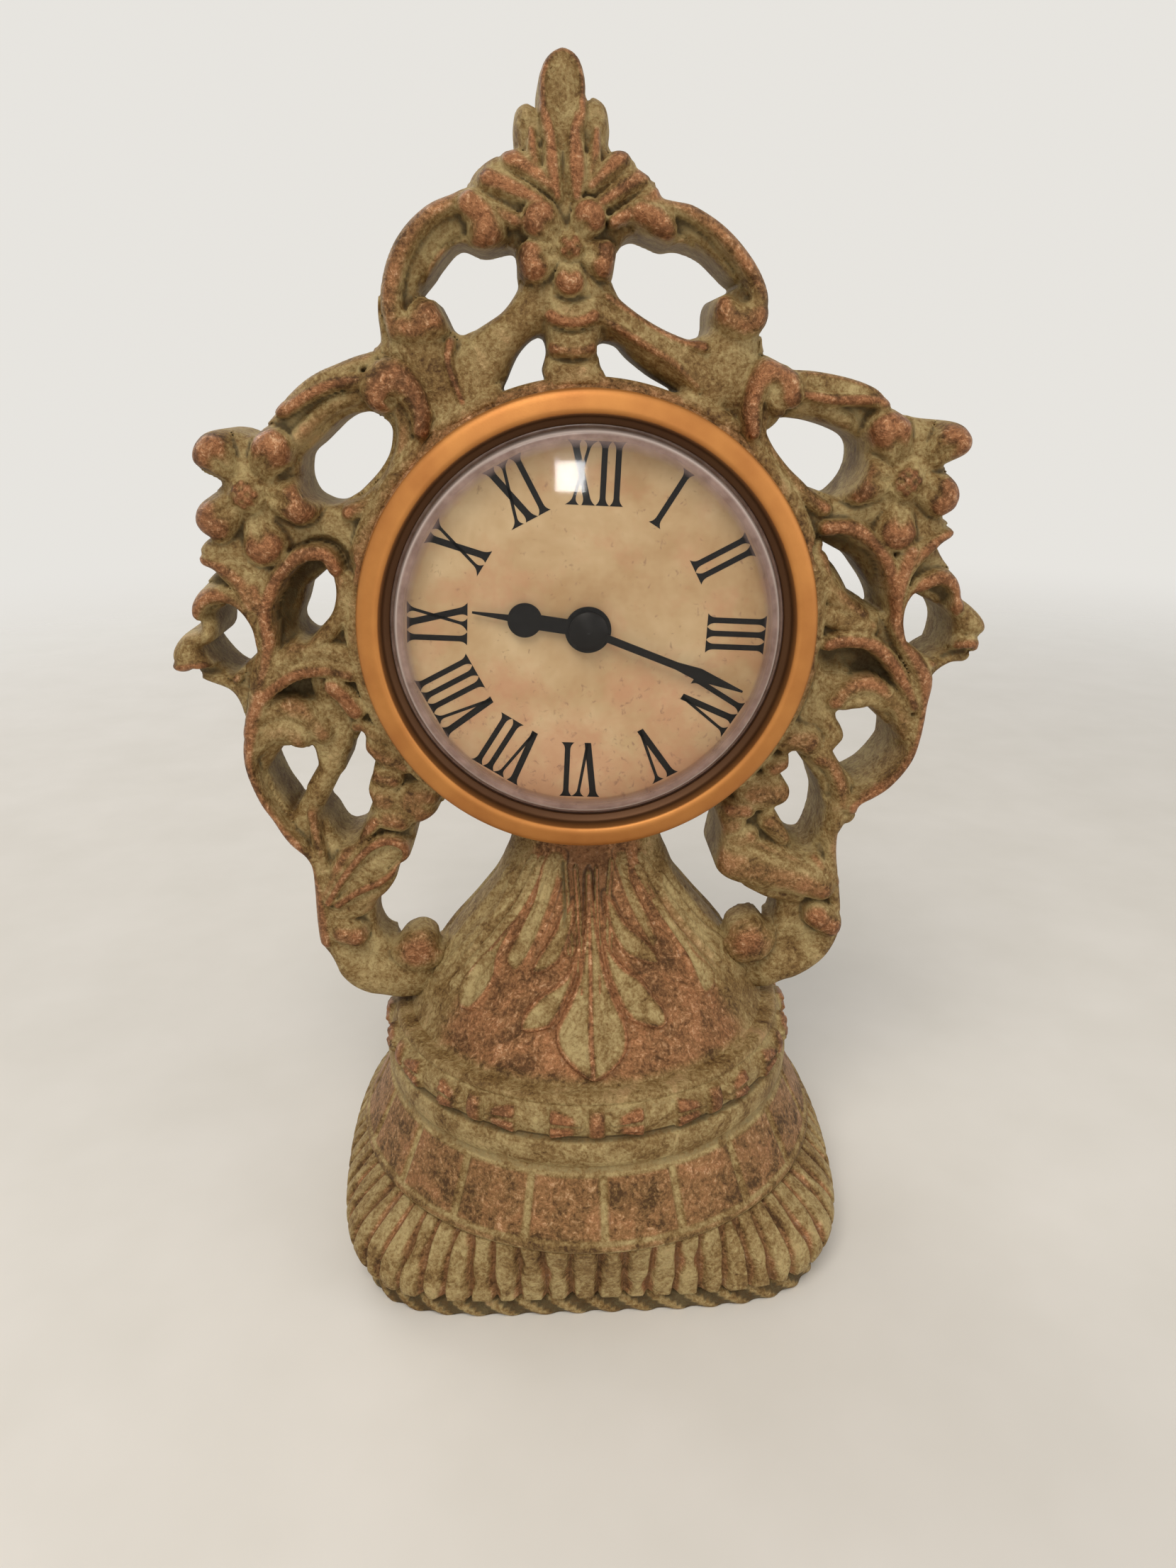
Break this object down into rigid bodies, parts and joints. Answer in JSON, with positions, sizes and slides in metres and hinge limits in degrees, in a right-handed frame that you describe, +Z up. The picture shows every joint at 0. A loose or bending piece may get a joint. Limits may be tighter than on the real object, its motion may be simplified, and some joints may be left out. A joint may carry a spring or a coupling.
{
  "type": "table clock",
  "caption": "Ornate openwork table clock: one cast scroll frame on a fluted base, with a round quartz insert, domed window and Roman dial pushed into its ring.",
  "frame": {"origin": "on the table under the clock's axis", "axes": "+Z up, +X to the right of someone facing the dial, the dial faces -Y"},
  "size_m": [0.1681, 0.107, 0.2395],
  "materials": {
    "antiqued_casting": "cast resin, painted verdigris and rubbed with copper on the high places",
    "felt": "felt",
    "gold_metal": "satin, lacquered",
    "clear_window": "clear polished",
    "dial_paper": "matte print",
    "plate_metal": "satin",
    "black_plastic": "fine matte",
    "rubber": "matte",
    "black_metal": "black lacquer",
    "brass": "turned",
    "wheel_plastic": "moulded",
    "magnet": "sintered",
    "movement_plastic": "moulded",
    "copper_wire": "enamelled wire",
    "board": "coated board",
    "battery_jacket": "plain jacket"
  },
  "bodies": {
    "stand": {"cast_frame": "antiqued_casting", "felt_pad": "felt"},
    "insert": {"bezel": "gold_metal", "lens": "clear_window", "dial_card": "dial_paper", "dial_plate": "plate_metal", "insert_housing": "black_plastic", "grip_ring": "rubber", "movement_case": "movement_plastic", "train_bridge": "wheel_plastic", "back_cover": "movement_plastic", "stator": "plate_metal", "coil": "copper_wire", "circuit_board": "board", "quartz_crystal": "plate_metal", "contact_positive": "plate_metal", "contact_negative": "plate_metal"},
    "minute_drive": {"minute_arbor": "brass", "minute_hand": "black_metal", "hand_cap": "black_metal"},
    "hour_drive": {"hour_wheel": "wheel_plastic", "hour_hand": "black_metal"},
    "transfer": {"transfer_wheel": "wheel_plastic"},
    "setting": {"set_knob": "wheel_plastic"},
    "centre": {"centre_wheel": "wheel_plastic"},
    "third": {"third_wheel": "wheel_plastic"},
    "fourth": {"fourth_wheel": "wheel_plastic"},
    "fifth": {"fifth_wheel": "wheel_plastic"},
    "magnet": {"rotor": "magnet"},
    "cell": {"battery": "battery_jacket"}
  },
  "joints": [
    {"name": "insert_slide", "type": "slide", "parent": "stand", "child": "insert", "axis": [0, -1, 0], "range_m": [0, 0.03]},
    {"name": "minute_turn", "type": "hinge", "parent": "insert", "child": "minute_drive", "pos_m": [0, -0.008, 0.1395], "axis": [0, 1, 0], "continuous": true},
    {"name": "hour_turn", "type": "hinge", "parent": "insert", "child": "hour_drive", "pos_m": [0, -0.008, 0.1395], "axis": [0, 1, 0], "continuous": true},
    {"name": "transfer_turn", "type": "hinge", "parent": "insert", "child": "transfer", "pos_m": [-0.01193, -0.008, 0.14075], "axis": [0, 1, 0], "continuous": true},
    {"name": "knob_turn", "type": "hinge", "parent": "insert", "child": "setting", "pos_m": [-0.00844, -0.008, 0.15379], "axis": [0, 1, 0], "continuous": true},
    {"name": "fourth_turn", "type": "hinge", "parent": "insert", "child": "fourth", "pos_m": [0.01483, -0.008, 0.15098], "axis": [0, 1, 0], "continuous": true},
    {"name": "third_turn", "type": "hinge", "parent": "insert", "child": "third", "pos_m": [0.01138, -0.008, 0.14151], "axis": [0, 1, 0], "continuous": true},
    {"name": "centre_turn", "type": "hinge", "parent": "insert", "child": "centre", "pos_m": [0, -0.008, 0.1395], "axis": [0, 1, 0], "continuous": true},
    {"name": "fifth_turn", "type": "hinge", "parent": "insert", "child": "fifth", "pos_m": [0.00735, -0.008, 0.1553], "axis": [0, 1, 0], "continuous": true},
    {"name": "rotor_turn", "type": "hinge", "parent": "insert", "child": "magnet", "pos_m": [0.00156, -0.008, 0.15741], "axis": [0, 1, 0], "continuous": true},
    {"name": "battery_slide", "type": "slide", "parent": "insert", "child": "cell", "axis": [0, 1, 0], "range_m": [0, 0.016]}
  ],
  "couplings": [
    {"joint": "hour_turn", "follows": "minute_turn", "ratio": 0.083333},
    {"joint": "transfer_turn", "follows": "minute_turn", "ratio": -0.33333},
    {"joint": "knob_turn", "follows": "minute_turn", "ratio": 0.66667},
    {"joint": "third_turn", "follows": "fourth_turn", "ratio": -0.125},
    {"joint": "centre_turn", "follows": "fourth_turn", "ratio": 0.016667},
    {"joint": "fifth_turn", "follows": "fourth_turn", "ratio": -5},
    {"joint": "rotor_turn", "follows": "fourth_turn", "ratio": 30}
  ]
}
